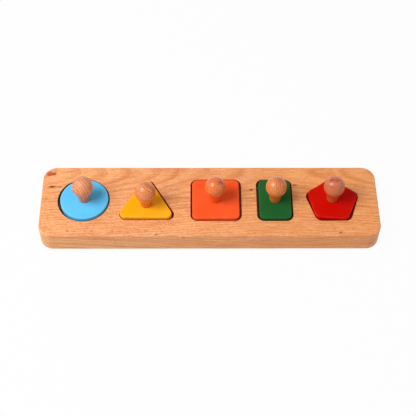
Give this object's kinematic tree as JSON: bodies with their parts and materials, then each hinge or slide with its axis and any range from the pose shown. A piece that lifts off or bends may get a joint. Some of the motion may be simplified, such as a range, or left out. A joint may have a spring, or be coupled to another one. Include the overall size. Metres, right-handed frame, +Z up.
{
  "type": "shape puzzle",
  "caption": "Long beech toy board with a row of shallow pockets, holding loose painted tiles in plain geometric shapes, each lifted by a turned wooden ball knob.",
  "frame": {"origin": "middle of the board's underside, on the surface that it lies on", "axes": "+X along the board from the disc to the pentagon, +Y from the child's side to the back, +Z up"},
  "size_m": [0.36, 0.09, 0.0611],
  "materials": {
    "beech": "planed beech, oiled, satin",
    "knob_beech": "turned beech, clear lacquer, gloss",
    "blue_paint": "painted wood, light blue, satin",
    "yellow_paint": "painted wood, golden yellow, satin",
    "orange_paint": "painted wood, orange, satin",
    "green_paint": "painted wood, dark green, satin",
    "red_paint": "painted wood, red, satin",
    "zinc_plate": "bright zinc plate"
  },
  "bodies": {
    "board": {"board": "beech"},
    "circle_piece": {"circle_tile": "blue_paint", "circle_knob": "knob_beech", "circle_screw": "zinc_plate"},
    "triangle_piece": {"triangle_tile": "yellow_paint", "triangle_knob": "knob_beech", "triangle_screw": "zinc_plate"},
    "square_piece": {"square_tile": "orange_paint", "square_knob": "knob_beech", "square_screw": "zinc_plate"},
    "rectangle_piece": {"rectangle_tile": "green_paint", "rectangle_knob": "knob_beech", "rectangle_screw": "zinc_plate"},
    "pentagon_piece": {"pentagon_tile": "red_paint", "pentagon_knob": "knob_beech", "pentagon_screw": "zinc_plate"}
  },
  "joints": [
    {"name": "circle_lift", "type": "slide", "parent": "board", "child": "circle_piece", "axis": [0, 0, 1], "range_m": [0, 0.06]},
    {"name": "triangle_lift", "type": "slide", "parent": "board", "child": "triangle_piece", "axis": [0, 0, 1], "range_m": [0, 0.06]},
    {"name": "square_lift", "type": "slide", "parent": "board", "child": "square_piece", "axis": [0, 0, 1], "range_m": [0, 0.06]},
    {"name": "rectangle_lift", "type": "slide", "parent": "board", "child": "rectangle_piece", "axis": [0, 0, 1], "range_m": [0, 0.06]},
    {"name": "pentagon_lift", "type": "slide", "parent": "board", "child": "pentagon_piece", "axis": [0, 0, 1], "range_m": [0, 0.06]}
  ]
}
